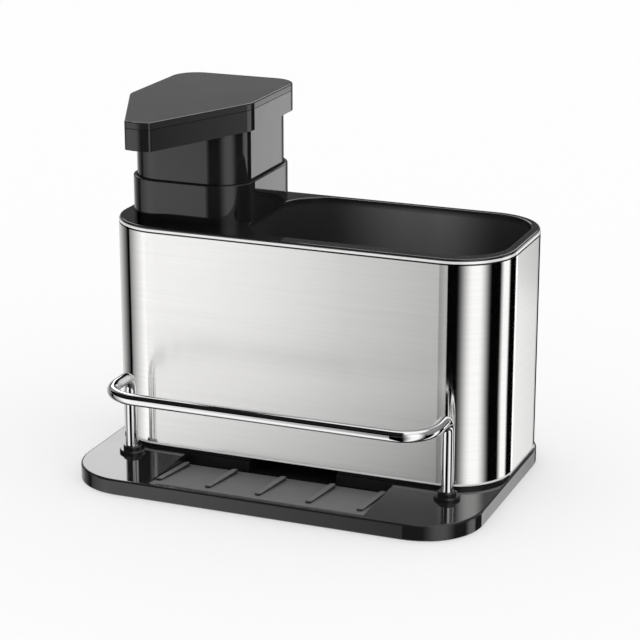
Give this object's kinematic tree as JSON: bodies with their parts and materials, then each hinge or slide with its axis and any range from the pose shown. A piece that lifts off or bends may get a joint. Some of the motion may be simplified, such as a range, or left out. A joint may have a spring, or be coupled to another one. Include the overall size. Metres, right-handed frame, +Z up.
{
  "type": "soap pump caddy",
  "caption": "Counter-top sink caddy: brushed steel sleeve over a black cup, a press-down soap pump with a wedge-shaped head, and a sponge rail on a drained base tray.",
  "frame": {"origin": "on the counter, under the middle of the base tray", "axes": "+X along the caddy to the right, away from the pump; +Y to the back; +Z up; the user stands at -Y"},
  "size_m": [0.196, 0.1344, 0.172],
  "materials": {
    "gloss_black": "polished black plastic",
    "satin_black": "satin black plastic",
    "sleeve_steel": "brushed along its length, bright corners",
    "rail_chrome": "bright chrome plate",
    "screw_steel": "plain steel",
    "ball_steel": "polished balls",
    "rubber": "soft black rubber",
    "milky_plastic": "milky moulded plastic"
  },
  "bodies": {
    "caddy": {"base_tray": "gloss_black", "foot_pads": "rubber", "base_screws": "screw_steel", "steel_sleeve": "sleeve_steel", "inner_liner": "gloss_black", "sponge_rail": "rail_chrome", "rail_bushes": "gloss_black", "rail_nuts": "screw_steel"},
    "reservoir": {"reservoir": "milky_plastic"},
    "pump": {"pump_collar": "gloss_black", "mouth_gasket": "rubber", "pump_cylinder": "milky_plastic", "stem_guide": "milky_plastic", "ball_cage": "milky_plastic", "dip_tube": "milky_plastic", "return_spring": "screw_steel"},
    "plunger": {"plunger_sleeve": "gloss_black", "head_body": "gloss_black", "head_cover": "satin_black", "piston_stem": "milky_plastic", "piston_seal": "rubber", "spout_tube": "milky_plastic", "spout_nozzle": "gloss_black", "head_screws": "screw_steel"},
    "inlet_valve": {"inlet_ball": "ball_steel"},
    "outlet_valve": {"outlet_ball": "ball_steel"}
  },
  "joints": [
    {"name": "reservoir_lift", "type": "slide", "parent": "caddy", "child": "reservoir", "axis": [0, 0, 1], "range_m": [0, 0.1]},
    {"name": "pump_lift", "type": "slide", "parent": "reservoir", "child": "pump", "axis": [0, 0, 1], "range_m": [0, 0.092]},
    {"name": "pump_press", "type": "slide", "parent": "pump", "child": "plunger", "axis": [0, 0, -1], "range_m": [0, 0.013], "stiffness_N_per_m": 500, "springref_m": -0.012, "deforming": ["return_spring"]},
    {"name": "inlet_ball_lift", "type": "slide", "parent": "pump", "child": "inlet_valve", "axis": [0, 0, 1], "range_m": [0, 0.0015]},
    {"name": "outlet_ball_lift", "type": "slide", "parent": "plunger", "child": "outlet_valve", "axis": [0, 0, 1], "range_m": [0, 0.0015]}
  ]
}
